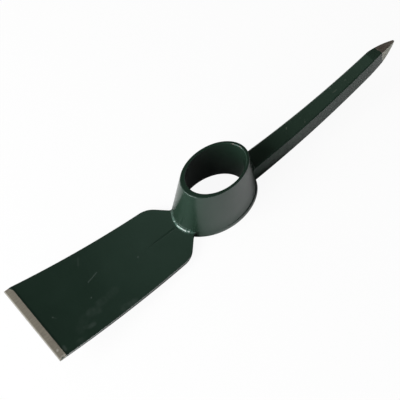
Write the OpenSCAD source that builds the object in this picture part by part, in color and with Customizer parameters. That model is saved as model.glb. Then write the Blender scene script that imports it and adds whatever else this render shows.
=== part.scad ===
// Pick mattock head, without its handle.
// A tapered oval eye stands upright, narrow handle end up. An adze blade is welded to one
// end of the oval and points along -X, a square pick is welded to the other and points
// along +X. Both arms leave the eye level and bend up towards the handle side.
// The origin is on the eye's axis, in the plane of the wide rim. Sizes are in millimetres.

/* [Eye] */
// Length of the oval along the head, outside, at the narrow handle end
eye_top_len = 72.5; // [66:0.5:80]
// Length of the oval along the head, outside, at the wide end
eye_bot_len = 94.5; // [86:0.5:104]
// Length of the oval divided by its width, outside
eye_ratio = 1.47; // [1.35:0.01:1.6]
// Height of the eye
eye_h = 59; // [50:0.5:70]
// How far the wide end is set over towards the blade
eye_lean = 1.2; // [0:0.1:3]
// Wall at the narrow rim, at the sides of the oval
wall_side = 2.6; // [2:0.1:5]
// Wall at the narrow rim, on the blade end of the oval
wall_top_blade = 5.7; // [4:0.1:7]
// Wall at the narrow rim, on the pick end of the oval
wall_top_pick = 3.4; // [2.6:0.1:6]
// Wall at the wide rim, on the blade end of the oval
wall_blade = 9; // [6:0.1:11]
// Wall at the wide rim, on the pick end of the oval
wall_pick = 11; // [7:0.1:13]
// Rounding of the outer edge of both rims
rim_round = 1.4; // [0.6:0.1:2]
// Chamfer of the mouth of the hole at both rims
mouth_chamfer = 0.5; // [0.3:0.1:1]

/* [Adze blade] */
// Length from the eye's wall to the cutting edge
blade_len = 164; // [120:1:220]
// Width at the cutting edge
blade_edge_wid = 84; // [70:1:110]
// Width at the shoulders
blade_shoulder_wid = 67.2; // [58:0.2:80]
// Width of the root, where it meets the eye
blade_root_wid = 32; // [26:0.5:38]
// Angle of the shoulders to the head's length
blade_shoulder_ang = 45; // [38:1:60]
// Rounding of the shoulders
blade_shoulder_r = 22; // [8:1:28]
// Rounding of the inner corners, where the root runs out into the eye
blade_fillet = 3.5; // [1:0.5:6]
// Thickness at the root
blade_root_t = 4.6; // [4:0.1:7]
// Thickness at the cutting end, before the bevel
blade_edge_t = 3.2; // [2.5:0.1:3.8]
// How far the blade has bent up at the cutting edge
blade_rise = 24.6; // [10:0.2:40]
// Length of the ground bevel on the upper side
blade_bevel = 7; // [4:0.5:12]
// Thickness left at the cutting edge
blade_land = 0.5; // [0.3:0.1:1]
// Height of the underside of the root over the wide rim
blade_base = 2.4; // [1.6:0.1:5]
// Length of the crease down the middle of the upper face
crease_len = 42; // [20:1:70]
// Depth of the crease at the eye
crease_depth = 0.8; // [0.3:0.1:1.4]
// Width of the crease at the eye
crease_wid = 3.2; // [1.6:0.1:5]

/* [Pick] */
// Length from the eye's wall to the tip
pick_len = 194; // [150:1:240]
// Width at the root
pick_root_wid = 19.4; // [16:0.2:24]
// Width where the point begins
pick_end_wid = 12.2; // [9:0.2:15]
// Depth of the bar
pick_depth = 25.6; // [20:0.2:30]
// Softening of the four long edges
pick_edge = 1.2; // [0.4:0.1:2.5]
// How far the pick has bent up at the tip
pick_rise = 35.4; // [15:0.2:55]
// Length of the ground point, on top and at the sides
pick_point_len = 36; // [28:1:46]
// Length of the ground point, below
pick_low_len = 26; // [20:1:34]
// Radius of the point's upper facet, seen from the side
pick_top_facet_r = 140; // [60:1:200]
// Radius of the point's lower facet, seen from the side
pick_low_facet_r = 40; // [34:1:90]
// Radius of the point's side facets, seen from above
pick_cheek_r = 190; // [90:1:250]
// Width of the blunt tip
pick_tip = 1.8; // [1:0.1:3]
// How far the tip lies below the middle of the bar
pick_tip_drop = 3.5; // [0:0.1:6]
// Height of the underside of the root over the wide rim
pick_base = 0.6; // [0.4:0.1:3]

/* [Welds] */
// Leg of the bead between the blade and the eye
blade_bead = 3; // [2:0.1:5]
// How far that bead laps round the sides of the blade
blade_lap = 1.2; // [0.6:0.1:4]
// Leg of the bead between the pick and the eye
pick_bead = 3; // [2:0.1:4.5]
// How far that bead laps round the sides of the pick
pick_lap = 0.9; // [0.6:0.1:4]

/* [Hidden] */
paint = [0.20, 0.27, 0.23];
bead_paint = [0.27, 0.34, 0.30];
$fn = 144;
// Fineness of the long bends
bend_fn = 720;
// Overshoot of cutting shapes
over = 1;
// Height of the beads' lower ends over the underside of the arms
bead_up = 1;

// Half widths of the outer oval, and its half length at either rim
eye_top_r = eye_top_len / 2 / eye_ratio;
eye_bot_r = eye_bot_len / 2 / eye_ratio;
// Half width and centre of the outer oval at height z
function eye_r(z) = eye_bot_r + (eye_top_r - eye_bot_r) * z / eye_h;
function eye_mid(z) = -eye_lean * (1 - z / eye_h);
// Where the wall stands at offset y and height z, on side -1 (blade) or 1 (pick)
function wall_x(side, y, z) = eye_mid(z) + side * eye_ratio * sqrt(pow(eye_r(z), 2) - y * y);

// The hole: a rounder oval, set over to the pick at the top and to the blade at the bottom
hole_top_r = eye_top_r - wall_side;
hole_ratio = (eye_top_len - wall_top_blade - wall_top_pick) / 2 / hole_top_r;
hole_bot_r = (eye_bot_len - wall_blade - wall_pick) / 2 / hole_ratio;
hole_mid = (wall_top_blade - wall_top_pick) / 2;
hole_lean = eye_lean + hole_mid + (wall_pick - wall_blade) / 2;
function hole_r(z) = hole_bot_r + (hole_top_r - hole_bot_r) * z / eye_h;

// Blade: where it starts and ends, and the radii of its upper and lower faces
blade_top = blade_base + blade_root_t;
blade_x0 = wall_x(-1, 0, blade_top);
blade_x1 = blade_x0 - blade_len;
blade_drop = blade_rise + blade_root_t - blade_edge_t;
blade_top_r = bend_r(blade_len, blade_rise);
blade_bot_r = bend_r(blade_len, blade_drop);

// Pick: where it starts and ends, and the radius of its bend
pick_top = pick_base + pick_depth;
pick_x0 = wall_x(1, 0, pick_base);
pick_x1 = pick_x0 + pick_len;
pick_xp = pick_x1 - pick_point_len;
pick_r = bend_r(pick_len, pick_rise);
pick_taper = (pick_root_wid - pick_end_wid) / 2 / (pick_xp - pick_x0);
pick_tip_z = pick_base + pick_depth / 2 + pick_rise - pick_tip_drop;

// Radius of an arc that starts level and rises by h over a length l
function bend_r(l, h) = (l * l + h * h) / (2 * h);
// Height of that arc at distance u from its start
function bend_z(r, u) = r - sqrt(r * r - u * u);
function unit(v) = v / norm(v);
// Points of a corner at q, between p and s, rounded to radius r
function round_corner(p, q, s, r, n = 12) =
    let (u = unit(p - q), v = unit(s - q), half = acos(u * v) / 2)
    let (c = q + unit(u + v) * r / sin(half), t = r / tan(half))
    let (a = q + u * t - c, b = q + v * t - c)
    let (a0 = atan2(a.y, a.x), turn = (atan2(b.y, b.x) - a0 + 900) % 360 - 180)
    [for (i = [0:n]) c + r * [cos(a0 + turn * i / n), sin(a0 + turn * i / n)]];
// Centre of a circle of radius r through p and q, to the right of the way from p to q
function circle_mid(p, q, r) =
    let (d = q - p, h = sqrt(r * r - d * d / 4))
    (p + q) / 2 + h * unit([d.y, -d.x]);

// Turns a form of the eye's height that is round about Z into the leaning oval
module oval(ratio, lean)
    multmatrix([[ratio, 0, lean / eye_h, -lean], [0, 1, 0, 0], [0, 0, 1, 0], [0, 0, 0, 1]])
        children();

// Leaning oval turned from a profile, a quarter of the way round at a time
module oval_turned(ratio, lean)
    for (quarter = [0:3])
        oval(ratio, lean)
            rotate([0, 0, 90 * quarter])
                rotate_extrude(angle = 90)
                    children();

// The eye's outer form with sharp rims, which the arms and beads are fitted to
module eye_outer()
    oval(eye_ratio, eye_lean)
        cylinder(h = eye_h, r1 = eye_bot_r, r2 = eye_top_r);

// Half section of the eye's outer form, with both rims rounded
module eye_profile() {
    foot = [eye_bot_r, 0];
    head = [eye_top_r, eye_h];
    polygon(concat([[0, 0]], round_corner([0, 0], foot, head, rim_round, 3),
        round_corner(foot, head, [0, eye_h], rim_round / 2, 3), [[0, eye_h]]));
}

// Half section of the hole, with both mouths chamfered
module hole_profile() {
    c = mouth_chamfer;
    polygon([[0, -over], [hole_r(0) + c, -over], [hole_r(0) + c, 0], [hole_r(c), c],
        [hole_r(eye_h - c), eye_h - c], [hole_r(eye_h) + c, eye_h],
        [hole_r(eye_h) + c, eye_h + over], [0, eye_h + over]]);
}

// Side view of the blade: a bent plate, thinner to the edge, bevelled from above
module blade_side() {
    bevel_x = blade_x1 + blade_bevel;
    bevel_z = blade_top + bend_z(blade_top_r, blade_len - blade_bevel);
    edge_z = blade_base + bend_z(blade_bot_r, blade_len) + blade_land;
    slope = (bevel_z - edge_z) / blade_bevel;
    difference() {
        intersection() {
            translate([blade_x0, blade_base + blade_bot_r])
                circle(blade_bot_r, $fn = bend_fn);
            translate([blade_x1, 0])
                square([-blade_x1, blade_top + blade_rise + blade_root_t]);
        }
        translate([blade_x0, blade_top + blade_top_r])
            circle(blade_top_r, $fn = bend_fn);
        polygon([[blade_x1 - over, edge_z - slope * over], [bevel_x, bevel_z],
            [bevel_x, bevel_z + blade_root_t], [blade_x1 - over, bevel_z + blade_root_t]]);
    }
}

// Plan of the blade: root run out into the eye, slanted shoulders with round corners,
// flared sides
module blade_plan() {
    half = blade_root_wid / 2;
    root = [wall_x(-1, half, blade_top), half];
    run = (blade_shoulder_wid / 2 - half) / tan(blade_shoulder_ang);
    shoulder = [root.x - run, blade_shoulder_wid / 2];
    flare = [wall_x(-1, half + blade_fillet, blade_top), half + blade_fillet];
    corner = [blade_x1, blade_edge_wid / 2];
    rim = concat([[0, half]],
        round_corner(flare, root, shoulder, blade_fillet),
        round_corner(root, shoulder, corner, blade_shoulder_r),
        [corner]);
    polygon(concat(rim, [for (i = [len(rim) - 1:-1:0]) [rim[i].x, -rim[i].y]]));
}

// The crease: a shallow V that starts at the weld, follows the bend and runs out along it.
// It is turned about the bend's axis, set over so that the depth is all gone at the end.
module blade_crease() {
    start = blade_bead + over;
    shift = blade_top_r * crease_depth / crease_len;
    sink = crease_depth * (1 + start / crease_len) + shift * shift / 2 / blade_top_r;
    from = asin((shift + start) / blade_top_r);
    to = asin((shift + start + 1.1 * crease_len) / blade_top_r);
    translate([blade_x0 + shift, 0, blade_top + blade_top_r - sink])
        rotate([90, 0, 0])
            rotate([0, 0, 270 - to])
                rotate_extrude(angle = to - from, $fn = bend_fn)
                    translate([blade_top_r, 0])
                        polygon([[0, 0], [-3 * crease_depth, 1.5 * crease_wid],
                            [-3 * crease_depth, -1.5 * crease_wid]]);
}

module blade_blank()
    difference() {
        intersection() {
            rotate([90, 0, 0])
                linear_extrude(blade_edge_wid + blade_shoulder_wid, center = true)
                    blade_side();
            linear_extrude(2 * (blade_top + blade_rise))
                blade_plan();
        }
        blade_crease();
    }

// Side view of the pick: a bent bar, ground to a point with curved facets
module pick_side() {
    up = [pick_xp, pick_top + bend_z(pick_r, pick_xp - pick_x0)];
    down_x = pick_x1 - pick_low_len;
    down = [down_x, pick_base + bend_z(pick_r, down_x - pick_x0)];
    tip_up = [pick_x1, pick_tip_z + pick_tip / 2];
    tip_down = [pick_x1, pick_tip_z - pick_tip / 2];
    reach = 2 * pick_depth + pick_rise;
    difference() {
        intersection() {
            translate([pick_x0, pick_base + pick_r])
                circle(pick_r, $fn = bend_fn);
            square([pick_x1, pick_top + pick_rise + pick_depth]);
        }
        translate([pick_x0, pick_top + pick_r])
            circle(pick_r, $fn = bend_fn);
        difference() {
            translate([pick_xp, pick_tip_z])
                square([pick_point_len + over, reach]);
            translate(circle_mid(up, tip_up, pick_top_facet_r))
                circle(pick_top_facet_r, $fn = bend_fn);
        }
        difference() {
            translate([down_x, pick_tip_z - reach])
                square([pick_low_len + over, reach]);
            translate(circle_mid(tip_down, down, pick_low_facet_r))
                circle(pick_low_facet_r, $fn = bend_fn);
        }
    }
}

// Plan of the pick: a tapering bar, its point rounded in from both sides
module pick_plan() {
    root = pick_root_wid / 2;
    end = pick_end_wid / 2;
    grow = pick_taper * pick_x0;
    mid = circle_mid([pick_xp, end], [pick_x1, pick_tip / 2], pick_cheek_r);
    difference() {
        polygon([[0, root + grow], [pick_xp, end], [pick_x1, end],
            [pick_x1, -end], [pick_xp, -end], [0, -root - grow]]);
        for (side = [-1, 1])
            scale([1, side])
                difference() {
                    translate([pick_xp, 0])
                        square([pick_point_len + over, pick_root_wid]);
                    translate(mid)
                        circle(pick_cheek_r, $fn = bend_fn);
                }
    }
}

// Round form along the bar's length, leaned over to one side by its height, so that its
// lower line runs along the softened edge of the bar. Side is -1 or 1 in y, up -1 or 1 in z.
module pick_edge_form(side, up) {
    lean = -side * up;
    shift = up * (pick_root_wid / 2 - pick_edge + pick_taper * pick_x0);
    multmatrix([[1, 0, 0, 0], [0, 1, 0, 0], [-up * pick_taper, lean, 1, shift], [0, 0, 0, 1]])
        rotate([90, 0, 0])
            linear_extrude(2 * pick_root_wid, center = true)
                translate([pick_x0, (up > 0 ? pick_top : pick_base) + pick_r])
                    circle(pick_r, $fn = bend_fn);
}

module pick_blank()
    difference() {
        intersection() {
            rotate([90, 0, 0])
                linear_extrude(2 * pick_root_wid, center = true)
                    pick_side();
            linear_extrude(2 * (pick_top + pick_rise))
                pick_plan();
            pick_edge_form(-1, -1);
            pick_edge_form(1, -1);
        }
        pick_edge_form(-1, 1);
        pick_edge_form(1, 1);
    }

// Room for a weld bead on the eye's wall: over an arm of half width w and top z1, and
// down both of its sides to z0, with a leg of g and a lap of l round the sides.
// Side is -1 for the blade and 1 for the pick.
module bead_room(side, w, z0, z1, g, l) {
    out = g / eye_ratio;
    far = eye_bot_len / 2;
    tilt = atan((wall_x(side, 0, eye_h) - wall_x(side, 0, 0)) / eye_h);
    intersection() {
        oval(eye_ratio, eye_lean)
            rotate_extrude()
                polygon([[0, z0], [eye_r(z0) + out, z0], [eye_r(z1) + out, z1],
                    [eye_r(z1 + 0.45 * g) + 0.72 * out, z1 + 0.45 * g],
                    [eye_r(z1 + 0.8 * g) + 0.4 * out, z1 + 0.8 * g],
                    [eye_r(z1 + g) + 0.1 * out, z1 + g], [0, z1 + g]]);
        rotate([90, 0, side * 90])
            linear_extrude(2 * far)
                polygon([[-w - l, z0], [w + l, z0], [w + l, z1], [w, z1 + g],
                    [-w, z1 + g], [-w - l, z1]]);
        translate([wall_x(side, w, z1), 0, z1])
            rotate([0, tilt, 0])
                linear_extrude(4 * z1, center = true)
                    scale([side, 1])
                        polygon([[-far, w + l], [0, w + l], [1.6 * g, w], [far, w],
                            [far, -w], [1.6 * g, -w], [0, -w - l], [-far, -w - l]]);
    }
}

// Tapered oval tube that the handle wedges into
module eye_socket()
    color(paint)
        difference() {
            oval_turned(eye_ratio, eye_lean)
                eye_profile();
            translate([hole_mid, 0, 0])
                oval_turned(hole_ratio, hole_lean)
                    hole_profile();
        }

// Flared, bent plate with a ground cutting edge
module adze_blade()
    color(paint)
        difference() {
            blade_blank();
            eye_outer();
        }

// Tapered, bent bar with a four-sided point
module pick_arm()
    color(paint)
        difference() {
            pick_blank();
            eye_outer();
        }

// Bead over the blade's root and down its edges
module blade_weld()
    color(bead_paint)
        difference() {
            bead_room(-1, blade_root_wid / 2, blade_base + bead_up, blade_top, blade_bead, blade_lap);
            eye_outer();
            blade_blank();
        }

// Bead over the pick's root and down its sides
module pick_weld()
    color(bead_paint)
        difference() {
            bead_room(1, pick_root_wid / 2, pick_base + bead_up, pick_top, pick_bead, pick_lap);
            eye_outer();
            pick_blank();
        }

eye_socket();
adze_blade();
pick_arm();
blade_weld();
pick_weld();
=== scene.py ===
import math

import bpy
from mathutils import Matrix, Vector


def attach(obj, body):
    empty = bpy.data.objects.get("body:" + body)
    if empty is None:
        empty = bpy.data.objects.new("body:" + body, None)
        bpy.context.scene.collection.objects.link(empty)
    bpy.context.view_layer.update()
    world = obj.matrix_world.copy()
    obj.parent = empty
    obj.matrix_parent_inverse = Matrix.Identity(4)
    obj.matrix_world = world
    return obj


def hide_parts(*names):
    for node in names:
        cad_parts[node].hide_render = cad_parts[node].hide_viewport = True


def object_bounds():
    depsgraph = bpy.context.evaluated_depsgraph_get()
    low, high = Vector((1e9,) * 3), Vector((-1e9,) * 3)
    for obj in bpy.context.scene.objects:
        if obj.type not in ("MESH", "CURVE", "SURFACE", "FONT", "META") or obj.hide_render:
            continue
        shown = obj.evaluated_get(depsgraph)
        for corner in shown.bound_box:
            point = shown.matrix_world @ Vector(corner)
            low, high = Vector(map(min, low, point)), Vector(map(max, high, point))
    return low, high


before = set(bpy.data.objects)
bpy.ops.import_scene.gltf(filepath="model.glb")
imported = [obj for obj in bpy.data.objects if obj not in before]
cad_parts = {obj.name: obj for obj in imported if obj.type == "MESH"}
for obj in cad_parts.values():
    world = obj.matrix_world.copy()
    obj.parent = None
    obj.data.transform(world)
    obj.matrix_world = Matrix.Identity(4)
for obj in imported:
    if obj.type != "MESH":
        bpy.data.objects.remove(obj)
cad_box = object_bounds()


# Eye.
# The eye is a forged, tapered oval tube that the handle wedges into. It is
# steel, sprayed all over with a dark green gloss enamel, and the enamel is
# chipped where the narrow rim has been knocked.

class Wire:
    """An output socket of a finish's nodes. Arithmetic on wires adds Math nodes."""

    def __init__(self, tree, socket=None):
        self.tree, self.socket = tree, socket

    def add(self, kind, settings=None, inputs=None, out=0):
        """Adds one node: its settings, then its inputs, and the output to go on with."""
        node = self.tree.nodes.new("ShaderNode" + kind)
        for key, value in (settings or {}).items():
            if key == "stops":
                ramp = node.color_ramp.elements
                for i, (at, shade) in enumerate(value):
                    stop = ramp[i] if i < 2 else ramp.new(at)
                    stop.position, stop.color = at, (shade, shade, shade, 1)
            else:
                setattr(node, key, value)
        for key, value in (inputs or {}).items():
            if isinstance(value, Wire):
                self.tree.links.new(value.socket, node.inputs[key])
            else:
                node.inputs[key].default_value = value
        return Wire(self.tree, node.outputs[out] if node.outputs else None)

    def beside(self, out):
        """Another output of the same node."""
        return Wire(self.tree, self.socket.node.outputs[out])

    def axes(self):
        """The x, y and z of a vector."""
        x = self.add("SeparateXYZ", inputs={0: self})
        return x, x.beside(1), x.beside(2)

    def sum(self, operation, a, b):
        return self.add("Math", {"operation": operation}, {0: a, 1: b})

    def __add__(self, other):
        return self.sum("ADD", self, other)

    __radd__ = __add__

    def __sub__(self, other):
        return self.sum("SUBTRACT", self, other)

    def __rsub__(self, other):
        return self.sum("SUBTRACT", other, self)

    def __mul__(self, other):
        return self.sum("MULTIPLY", self, other)

    __rmul__ = __mul__

    def __truediv__(self, other):
        return self.sum("DIVIDE", self, other)

    def most(self, other):
        return self.sum("MAXIMUM", self, other)

    def least(self, other):
        return self.sum("MINIMUM", self, other)

    def between(self, low, high):
        """Goes smoothly from 0 at low to 1 at high. Low may be the larger one."""
        return self.add("MapRange", {"interpolation_type": "SMOOTHSTEP"},
                        {"Value": self, "From Min": low, "From Max": high})

    def tint(self, a, b):
        """Mixes two colours, b where this wire is 1."""
        pair = [c if isinstance(c, Wire) else (*c, 1) for c in (a, b)]
        return self.add("Mix", {"data_type": "RGBA"}, {0: self, 6: pair[0], 7: pair[1]}, 2)


def new_finish(name):
    """An empty material, and a wire with the place on the piece in metres."""
    finish = bpy.data.materials.new(name)
    finish.use_nodes = True
    finish.node_tree.nodes.clear()
    place = Wire(finish.node_tree).add("TexCoord", out="Object")
    return finish, place


def grain(place, scale, detail=2.0, rough=0.5, stretch=(1, 1, 1)):
    """Noise from 0 to 1 with features of about 1 / scale metres."""
    if stretch != (1, 1, 1):
        place = place.add("Mapping", inputs={"Vector": place, "Scale": stretch})
    return place.add("TexNoise", inputs={
        "Vector": place, "Scale": scale, "Detail": detail, "Roughness": rough})


def streak(x, y, start, end, width):
    """1 along the line from start to end, seen from above, and 0 beyond its width."""
    run = end[0] - start[0], end[1] - start[1]
    along = ((x - start[0]) * run[0] + (y - start[1]) * run[1]) / (run[0] ** 2 + run[1] ** 2)
    along = along.most(0.0).least(1.0)
    off = x - start[0] - along * run[0], y - start[1] - along * run[1]
    return (off[0] * off[0] + off[1] * off[1]).between(width ** 2, (0.3 * width) ** 2)


def marks(x, y, streaks):
    """The strongest of several streaks, each a start, an end, a width and a strength."""
    strongest = None
    for start, end, width, strength in streaks:
        mark = streak(x, y, start, end, width) * strength
        strongest = strongest.most(mark) if strongest else mark
    return strongest


enamel_green = (0.0112, 0.0258, 0.0166)
enamel_deep = (0.0098, 0.0228, 0.0146)
# Lighter green of hazed enamel, also used for the blade's painted lightening towards the eye.
enamel_haze_and_light = (0.0215, 0.0415, 0.0300)
# Lighter grey-green of real scuffs and scratches, also used for a painted highlight on the eye's rim.
enamel_scuff_and_highlight = (0.1300, 0.1600, 0.1450)
enamel_gloss = (0.80, 1.0, 0.95, 1)
# Near-black used for painted shade, and for a darker band of paint beside the blade's bevel.
darkening_black = (0.005, 0.006, 0.005, 1)
ground_steel = (0.265, 0.242, 0.197)
# Lighter steel for the painted highlight along the blade's cutting edge and near end, and for a nick.
highlight_and_nick_steel = (0.560, 0.540, 0.480)


def enamel(place, haze_and_painted_light, scuff_and_highlight=None, bare=None, ior=1.5, matt=0.20, coat=0.0,
           steel=ground_steel, highlight_and_nick=None, scuff_and_highlight_colour=enamel_scuff_and_highlight, darkening=None):
    """Dark green gloss enamel, hazed and scuffed in places, with painted highlights and lightening on
    some pieces, darkened in places towards near-black, mostly as painted shade, and steel where bare is
    1.
    """
    cloud = grain(place, 22.0, 3.0)
    colour = cloud.between(0.35, 0.70).tint(enamel_deep, enamel_green)
    # Haze, and on the blade a painted lightening, turn the enamel lighter and rougher.
    colour = (haze_and_painted_light * 0.5).tint(colour, enamel_haze_and_light)
    rough = matt + 0.08 * cloud + 0.16 * haze_and_painted_light
    height = grain(place, 420.0, 1.5) * 0.35 + grain(place, 55.0, 2.0) * 1.6
    metal = 0.0
    # Scuffs and scratches lighten the enamel here, and on some pieces painted highlights do too.
    if scuff_and_highlight:
        colour = scuff_and_highlight.tint(colour, scuff_and_highlight_colour)
    if bare:
        strokes = grain(place, 1400.0, 2.0, 0.6, (0.06, 1, 1))
        dull_steel = tuple(0.72 * c for c in steel)
        brushed = strokes.between(0.25, 0.75).tint(dull_steel, steel)
        # The bare steel is painted lighter where this mask is 1: a painted highlight along the edge,
        # and a nick.
        if highlight_and_nick:
            brushed = highlight_and_nick.tint(brushed, highlight_and_nick_steel)
        colour = bare.tint(colour, brushed)
        rough = rough * (1 - bare) + bare * (0.34 + 0.14 * strokes)
        height = height * (1 - bare) + bare * (strokes * 0.5)
        metal = bare
    relief = place.add("Bump", inputs={"Strength": 0.22, "Distance": 0.0004, "Height": height})
    shader = place.add("BsdfPrincipled", inputs={
        "Base Color": colour, "Metallic": metal, "Roughness": rough, "IOR": ior, "Normal": relief,
        "Specular Tint": enamel_gloss, "Coat Weight": coat, "Coat Roughness": 0.22})
    # Where this mask is 1 the enamel turns to a dull near-black: painted shade, and on the blade also a
    # darker band beside the bevel.
    if darkening:
        darkening_shader = place.add("BsdfDiffuse", inputs={"Color": darkening_black})
        shader = place.add("MixShader", inputs={0: darkening, 1: shader, 2: darkening_shader})
    place.add("OutputMaterial", inputs={"Surface": shader})


def dress(node, finish):
    """Gives a CAD solid its finish."""
    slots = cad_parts[node].data.materials
    slots.clear()
    slots.append(finish)


eye_ior, eye_matt = 1.47, 0.185
chipped_steel = (0.100, 0.095, 0.085)
eye_finish, place = new_finish("eye_enamel")
x, y, z = place.axes()
rim = z.between(0.0574, 0.0586)
chips = marks(x, y, (
    ((0.0297, 0.0099), (0.0307, 0.0087), 0.0006, 1.0),
    ((0.0330, 0.0032), (0.0333, 0.0018), 0.0005, 1.0))) * rim
# A lighter line along the outer edge of the near rim is a painted highlight.
rim_painted_highlight = streak(x, y, (-0.0353, -0.0051), (-0.0323, -0.0112), 0.0008) * rim * 0.25
normal_x, normal_y = place.add("NewGeometry", out="Normal").axes()[:2]
outside = (normal_x * x + normal_y * y).between(-0.008, 0.006)
sprayed = (x.between(-0.044, -0.018) * 0.46 + x.between(0.0, 0.024) * 0.10) * x.between(0.040, 0.028)
sprayed = sprayed * (0.2 + z.between(0.002, 0.020) * 0.8)
pooled = (1 - outside) * x.between(0.012, 0.028) * z.between(0.045, 0.020) * 0.55
# Painted shade: darker towards the foot, low on the wall beside the pick, and in the corners beside the
# blade's root.
foot_painted_shade = z.between(0.0065, 0.0045) * x.between(-0.025, 0.020) * 0.2
pick_side_painted_shade = x.between(0.022, 0.040) * z.between(0.036, 0.026) * 0.3
off_middle = y * y
corner = off_middle.between(0.0150 ** 2, 0.0166 ** 2) * off_middle.between(0.0205 ** 2, 0.0175 ** 2)
corner_painted_shade = corner * z.between(0.0105, 0.0070) * x.between(-0.030, -0.034) * 0.85
darkening = foot_painted_shade.most(pick_side_painted_shade).most(corner_painted_shade) * outside
hazed = grain(place, 30.0, 3.0).between(0.35, 0.85) * 0.15
enamel(place, hazed, rim_painted_highlight, chips, ior=eye_ior, matt=eye_matt, coat=sprayed * outside + pooled,
       steel=chipped_steel, darkening=darkening)
dress("eye_socket", eye_finish)


# Foot lip.
# The wide end of the eye has a thin lip, which stands a little proud of the
# wall beside the pick. It is the same steel, pressed out when the eye was
# forged, and it is enamelled with the eye.

eye_height, eye_lean, eye_ratio = 0.059, 0.0012, 1.47
eye_wide_length, eye_narrow_length = 0.0945, 0.0725
eye_wide, eye_narrow = eye_wide_length / 2 / eye_ratio, eye_narrow_length / 2 / eye_ratio
lip_foot, lip_height, lip_wall, lip_edge = 0.0006, 0.0042, 0.0022, 0.0004
lip_over, lip_proud, lip_slope = 0.0012, 0.0007, 0.0004
shrink = ((eye_narrow - eye_wide) * lip_height / eye_height - lip_slope) / eye_wide
bpy.ops.object.select_all(action="DESELECT")
bpy.ops.mesh.primitive_circle_add(vertices=192, radius=1.0, location=(lip_over - eye_lean, 0, lip_foot))
lip = bpy.context.object
lip.name = lip.data.name = "eye_foot_lip"
lip.scale = eye_ratio * eye_wide, eye_wide + lip_proud, 1
bpy.ops.object.transform_apply(location=True, rotation=True, scale=True)
bpy.ops.object.mode_set(mode="EDIT")
bpy.ops.mesh.select_all(action="SELECT")
bpy.ops.mesh.extrude_edges_move(TRANSFORM_OT_translate={"value": (0, 0, lip_height)})
bpy.ops.transform.resize(value=(1 + shrink, 1 + shrink, 1))
bpy.ops.mesh.select_all(action="SELECT")
bpy.ops.mesh.normals_make_consistent(inside=False)
bpy.ops.object.mode_set(mode="OBJECT")
wall = lip.modifiers.new("wall", "SOLIDIFY")
wall.thickness, wall.offset = lip_wall, -1
soften = lip.modifiers.new("soften", "BEVEL")
soften.width, soften.segments, soften.limit_method = lip_edge, 3, "ANGLE"
for step in ("wall", "soften"):
    bpy.ops.object.modifier_apply(modifier=step)
bpy.ops.object.shade_smooth()
lip_finish, place = new_finish("lip_enamel")
hazed = grain(place, 200.0, 3.0).between(0.35, 0.8) * 0.3
enamel(place, hazed, ior=eye_ior, matt=eye_matt, coat=1.0)
lip.data.materials.append(lip_finish)
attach(lip, "root")


# Adze blade.
# The adze blade is a flared plate, bent up towards the cutting edge. It has
# the same enamel as the eye, and the bevel is ground bare after painting.

blade_matt = 0.27
bevel_line, bevel_fade = -0.2038, 0.0002
bend_radius, bend_start = 0.5590, -0.0470
scratches = (
    ((-0.1475, 0.0056), (-0.1350, 0.0093), 0.0006, 0.32),
    ((-0.1547, -0.0089), (-0.1543, -0.0085), 0.0007, 0.55),
    ((-0.0964, -0.0016), (-0.0960, -0.0014), 0.0007, 0.45),
    ((-0.1925, -0.0048), (-0.1920, -0.0051), 0.0007, 0.45),
    ((-0.1920, -0.0052), (-0.1904, -0.0073), 0.0006, 0.12),
    ((-0.1396, 0.0319), (-0.1440, 0.0252), 0.0010, 0.09),
    ((-0.2012, -0.0338), (-0.2016, -0.0366), 0.0019, 0.20))
smudges = (
    ((-0.1641, -0.0206), (-0.1579, -0.0216), 0.0052, 0.15),
    ((-0.1759, -0.0288), (-0.1723, -0.0310), 0.0028, 0.14),
    ((-0.1723, -0.0310), (-0.1678, -0.0307), 0.0028, 0.18),
    ((-0.1529, -0.0179), (-0.1468, -0.0169), 0.0046, 0.10),
    ((-0.1400, -0.0165), (-0.1340, -0.0155), 0.0050, 0.06),
    ((-0.1884, -0.0375), (-0.1850, -0.0371), 0.0032, 0.09),
    ((-0.1810, -0.0286), (-0.1708, -0.0217), 0.0055, 0.05),
    ((-0.1381, -0.0345), (-0.1255, -0.0356), 0.0042, 0.12))
blade_finish, place = new_finish("blade_enamel")
x, y, z = place.axes()
ground = x + y.between(0.0365, 0.0425) * 0.0026
ragged = (grain(place, 220.0, 3.0) - 0.5) * 0.0012
bare = (ground + ragged).between(bevel_line + bevel_fade, bevel_line - bevel_fade)
residue = grain(place, 420.0, 3.0).between(0.55, 0.64) * y.between(-0.0340, -0.0405)
bare = bare * (1 - residue * 0.8)
smear = grain(place, 180.0, 2.0).between(0.15, 0.80)
scuff_and_highlight = marks(x, y, scratches).most(marks(x, y, smudges) * smear)
# Random haze in the enamel, and a painted lightening that grows towards the eye, where the blade is lit
# more.
blade_haze_and_painted_light = grain(place, 30.0, 3.0).between(0.35, 0.85) * 0.25 + x.between(-0.180, -0.070) * 0.4
facing_up = place.add("NewGeometry", out="Normal").axes()[2]
flank = facing_up.between(0.7, 0.3)
# Painted highlight: lighter steel along the cutting edge and at the near end of the bevel; the nick is
# lighter too.
cutting_edge_highlight = x.between(-0.2094, -0.2106)
near_end_highlight = y.between(-0.0388, -0.0400) * y.between(-0.0418, -0.0406)
nick = streak(x, y, (-0.2069, -0.0326), (-0.2074, -0.0332), 0.0012)
highlight_and_nick = cutting_edge_highlight.most(near_end_highlight * 0.45).most(nick * 0.4)
run = (bend_start - x).most(0.0)
above_bend = z - run * run / (2 * bend_radius)
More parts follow.
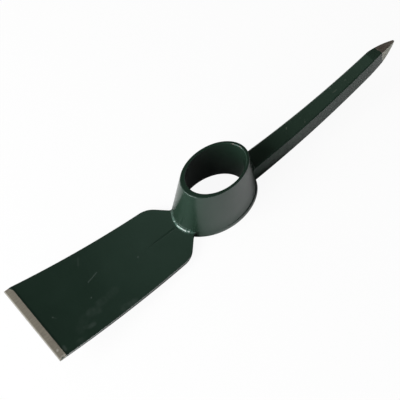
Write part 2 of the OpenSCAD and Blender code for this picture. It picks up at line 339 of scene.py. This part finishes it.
# Painted shade on the lower part of the side faces; the paint just beside the bevel is darker.
flank_painted_shade = above_bend.between(0.0058, 0.0036).most(x.between(-0.064, -0.056)) * flank * 0.85
bevel_dark_band = x.between(-0.2005, -0.2032) * (1 - bare) * 0.3
darkening = flank_painted_shade.most(bevel_dark_band)
enamel(place, blade_haze_and_painted_light, scuff_and_highlight, bare, matt=blade_matt, coat=flank, highlight_and_nick=highlight_and_nick, darkening=darkening)
dress("adze_blade", blade_finish)


# Pick.
# The pick is a square bar drawn down to a four-sided point. It is enamelled
# like the eye, and the last part of the point is ground bare.

pick_ior, pick_matt = 1.27, 0.13
point_steel = (0.550, 0.468, 0.402)
# Grey of the pick's paint nibs and specks, and of its greyer top faces.
pick_mark_grey = (0.148, 0.152, 0.130)
bend_radius, bend_start, underside = 0.5493, 0.0460, 0.0006
specks = (
    ((0.0942, 0.0018), (0.0956, 0.0034), 0.0007, 0.35),
    ((0.1122, -0.0052), (0.1129, -0.0045), 0.0007, 0.25),
    ((0.1120, 0.0014), (0.1126, 0.0020), 0.0006, 0.20),
    ((0.0736, 0.0074), (0.0741, 0.0080), 0.0007, 0.25),
    ((0.1550, 0.0044), (0.1562, 0.0052), 0.0007, 0.30),
    ((0.1543, -0.0010), (0.1585, -0.0014), 0.0006, 0.25),
    ((0.1712, 0.0000), (0.1718, 0.0005), 0.0007, 0.25),
    ((0.1858, -0.0069), (0.1866, -0.0065), 0.0008, 0.60))
pick_finish, place = new_finish("pick_enamel")
x, y, z = place.axes()
ragged = (grain(place, 220.0, 3.0) - 0.5) * 0.003
bare = (x + z * 0.30 + ragged).between(0.2315, 0.2325)
hazed = grain(place, 30.0, 3.0).between(0.30, 0.90) * 0.15 + x.between(0.045, 0.110) * 0.3
facing_up = place.add("NewGeometry", out="Normal").axes()[2]
topside = facing_up.between(0.60, 0.95)
# The top faces are greyer and a little lighter, most near the root.
top_greying = topside * (0.035 + x.between(0.085, 0.045) * 0.055)
nibs = grain(place, 800.0, 1.0).between(0.70, 0.80) * 0.30
scuff_and_highlight = top_greying.most(nibs).most(marks(x, y, specks) * topside)
run = (x - bend_start).most(0.0)
above_bend = z - underside - run * run / (2 * bend_radius)
# Painted shade: darker along the lower edge of the sides, and low down near the root beside the eye.
lower_edge_painted_shade = above_bend.between(0.0036, 0.0010) * 0.7
root_painted_shade = above_bend.between(0.0150, 0.0010) * x.between(0.120, 0.050) * 0.6
darkening = lower_edge_painted_shade.most(root_painted_shade) * facing_up.between(-0.9, -0.5)
thick_coat = x.between(0.045, 0.115) * 0.30
enamel(place, hazed, scuff_and_highlight, bare, ior=pick_ior, matt=pick_matt, coat=thick_coat,
       steel=point_steel, scuff_and_highlight_colour=pick_mark_grey, darkening=darkening)
dress("pick_arm", pick_finish)


# Weld beads.
# Both arms are arc welded to the eye. Each bead is a row of small puddles of
# steel, laid by hand in the corner and sprayed over with the rest, so it is
# lumpy and green.

def on_wall(side, y, z):
    """The point of the eye's outer wall at y and z, on the blade (-1) or pick (1) side."""
    half = eye_wide + (eye_narrow - eye_wide) * z / eye_height
    middle = -eye_lean * (1 - z / eye_height)
    return Vector((middle + side * eye_ratio * math.sqrt(half * half - y * y), y, z))


def lay_bead(name, puddles):
    """Joins puddles, each a centre, a direction and three radii, into one bead."""
    bpy.ops.object.select_all(action="DESELECT")
    blobs = []
    for centre, along, radii in puddles:
        bpy.ops.mesh.primitive_uv_sphere_add(segments=20, ring_count=12, radius=1.0)
        blob = bpy.context.object
        bpy.ops.transform.resize(value=radii)
        blob.rotation_euler = along.to_track_quat("X", "Z").to_euler()
        blob.location = centre
        blobs.append(blob)
    for blob in blobs:
        blob.select_set(True)
    bpy.context.view_layer.objects.active = blobs[0]
    bpy.ops.object.join()
    bead = bpy.context.object
    bead.name = bead.data.name = name
    bpy.ops.object.transform_apply(location=True, rotation=True, scale=True)
    melt = bead.modifiers.new("melt", "REMESH")
    melt.mode, melt.voxel_size = "VOXEL", 0.00030
    settle = bead.modifiers.new("settle", "SMOOTH")
    settle.factor, settle.iterations = 0.5, 4
    for step in ("melt", "settle"):
        bpy.ops.object.modifier_apply(modifier=step)
    bpy.ops.object.shade_smooth()
    return bead


straight_up = Vector((0, 0, 1))
next_to = 0.0004
blade_top, blade_half_root, blade_puddles = 0.0070, 0.0160, 21
thin_place, thin_width = 0.0040, 0.0012
puddles = []
for i in range(blade_puddles):
    t = i / (blade_puddles - 1)
    y = blade_half_root * (0.94 - 1.94 * t)
    here, there = on_wall(-1, y, blade_top), on_wall(-1, y - next_to, blade_top)
    along = (there - here).normalized()
    out = along.cross(straight_up)
    swell = 1 + 0.03 * math.sin(2.1 * i) + 0.02 * math.sin(4.7 * i + 1.0)
    thin = 1 - 0.25 * math.exp(-((y - thin_place) / thin_width) ** 2)
    end = 1 - 0.5 * max(0.0, (t - 0.90) / 0.10)
    r = (0.0018 + 0.0007 * t) * swell * thin * end
    centre = here + out * (0.0001 * math.sin(1.3 * i) - 0.0007) + straight_up * 0.0009
    puddles.append((centre, along, (r * 1.4, r * 1.1, r)))
blade_bead = lay_bead("blade_weld_bead", puddles)

pick_top, pick_half_root, pick_puddles = 0.0262, 0.0097, 13
side_puddles, side_pitch, side_start = 12, 0.0016, 0.0008
puddles = []
for i in range(pick_puddles):
    t = i / (pick_puddles - 1)
    y = pick_half_root * (1.0 - 2.0 * t)
    here, there = on_wall(1, y, pick_top), on_wall(1, y - next_to, pick_top)
    along = (there - here).normalized()
    r = 0.0020 * (1 + 0.10 * math.sin(2.4 * i + 0.5) + 0.07 * math.sin(5.1 * i))
    puddles.append((here + Vector((0.0005, 0, 0.0005)), along, (r * 1.05, r, r)))
for edge in (-1, 1):
    for i in range(side_puddles):
        z = pick_top - side_pitch * i - side_start
        here = on_wall(1, edge * pick_half_root, z)
        r = 0.0010 * (1 + 0.10 * math.sin(2.9 * i + edge))
        puddles.append((here - Vector((0.0002, 0, 0)), straight_up, (r * 1.1, r, r)))
pick_bead = lay_bead("pick_weld_bead", puddles)

# A lighter green, laid in patches over the blade's bead as a painted highlight.
bead_highlight_green = (0.105, 0.235, 0.180)
bead_finish, place = new_finish("bead_enamel")
hazed = grain(place, 200.0, 3.0).between(0.35, 0.8)
scuff_and_highlight = grain(place, 300.0).between(0.3, 0.7) * 0.36
enamel(place, hazed, scuff_and_highlight, matt=0.26, coat=1.0, scuff_and_highlight_colour=bead_highlight_green)

pick_bead_finish, place = new_finish("pick_bead_enamel")
hazed = grain(place, 200.0, 3.0).between(0.35, 0.8)
enamel(place, hazed, ior=pick_ior, matt=0.24)

for bead, finish, solid, slot in (
        (blade_bead, bead_finish, "blade_weld", "blade_bead_paint"),
        (pick_bead, pick_bead_finish, "pick_weld", "pick_bead_paint")):
    bead.data.materials.append(finish)
    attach(bead, "root")
    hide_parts(solid)


# Studio.
# A white floor with a white surround that darkens overhead, a large soft lamp
# low on the blade side and a weak one high on the far side.

floor_drop = 0.0004
bpy.ops.object.select_all(action="DESELECT")
bpy.ops.mesh.primitive_plane_add(size=8.0, location=(0, 0, cad_box[0].z - floor_drop))
floor = bpy.context.object
floor.name = "studio_floor"
floor_finish = bpy.data.materials.new("studio_white")
floor_finish.use_nodes = True
floor_finish.node_tree.nodes.clear()
white = Wire(floor_finish.node_tree)
ray = white.add("LightPath", out="Is Camera Ray")
glossy, through = ray.beside("Is Glossy Ray"), ray.beside("Is Transmission Ray")
paper = white.add("BsdfDiffuse", inputs={"Color": (0.82, 0.82, 0.82, 1)})
glow = white.add("Emission", inputs={"Color": (1, 1, 1, 1), "Strength": 1.0})
shown_white = 0.93 * ray + 0.02 * glossy + 0.02 * through
lit = white.add("MixShader", inputs={0: shown_white, 1: paper, 2: glow})
white.add("OutputMaterial", inputs={"Surface": lit})
floor.data.materials.append(floor_finish)

surround_stops = [(0.0, 0.6), (1.0, 0.04), (0.20, 0.6), (0.36, 0.06)]
world = bpy.data.worlds.new("studio_surround")
bpy.context.scene.world = world
world.use_nodes = True
world.node_tree.nodes.clear()
sky = Wire(world.node_tree).add("TexCoord", out="Generated")
height = sky.axes()[2]
shade = height.add("ValToRGB", {"stops": surround_stops}, {0: height})
seen = sky.add("LightPath", out="Is Camera Ray").tint(shade, (1, 1, 1))
back = sky.add("Background", inputs={"Color": seen, "Strength": 1.0})
sky.add("OutputWorld", inputs={"Surface": back})


def soft_lamp(name, place, aim, size, power):
    """A square soft lamp at a place, turned to what it lights."""
    bpy.ops.object.light_add(type="AREA", location=place)
    lamp = bpy.context.object
    lamp.name = name
    lamp.data.shape, lamp.data.size, lamp.data.energy = "SQUARE", size, power
    lamp.rotation_euler = (Vector(aim) - Vector(place)).to_track_quat("-Z", "Y").to_euler()


eye_middle = (0, 0, 0.02)
soft_lamp("lamp_blade_side", (-1.35, 0.04, 0.66), eye_middle, 1.25, 46.0)
soft_lamp("lamp_far_side", (-0.48, 0.83, 1.15), eye_middle, 1.20, 3.8)

# The camera stands above the blade's near side, as the photograph was taken.
film_width, focal_pixels, picture_pixels = 36.0, 846.30, 400.0
bpy.ops.object.camera_add(location=(-0.262475, -0.300804, 0.715789))
camera = bpy.context.object
camera.name = "camera"
turn, lift, roll = (math.radians(a) for a in (-39.0138, 60.7925, -2.151))
away = Vector((math.sin(turn) * math.cos(lift), -math.cos(turn) * math.cos(lift), math.sin(lift)))
right = Vector((math.cos(turn), math.sin(turn), 0.0))
up = away.cross(right)
side = math.cos(roll) * right + math.sin(roll) * up
top = -math.sin(roll) * right + math.cos(roll) * up
camera.rotation_euler = Matrix((side, top, away)).transposed().to_euler()
camera.data.sensor_width = film_width
camera.data.sensor_fit = "AUTO"
camera.data.lens = film_width * focal_pixels / picture_pixels
camera.data.clip_start, camera.data.clip_end = 0.02, 50.0
bpy.context.scene.camera = camera
bpy.context.scene.view_settings.view_transform = "Standard"
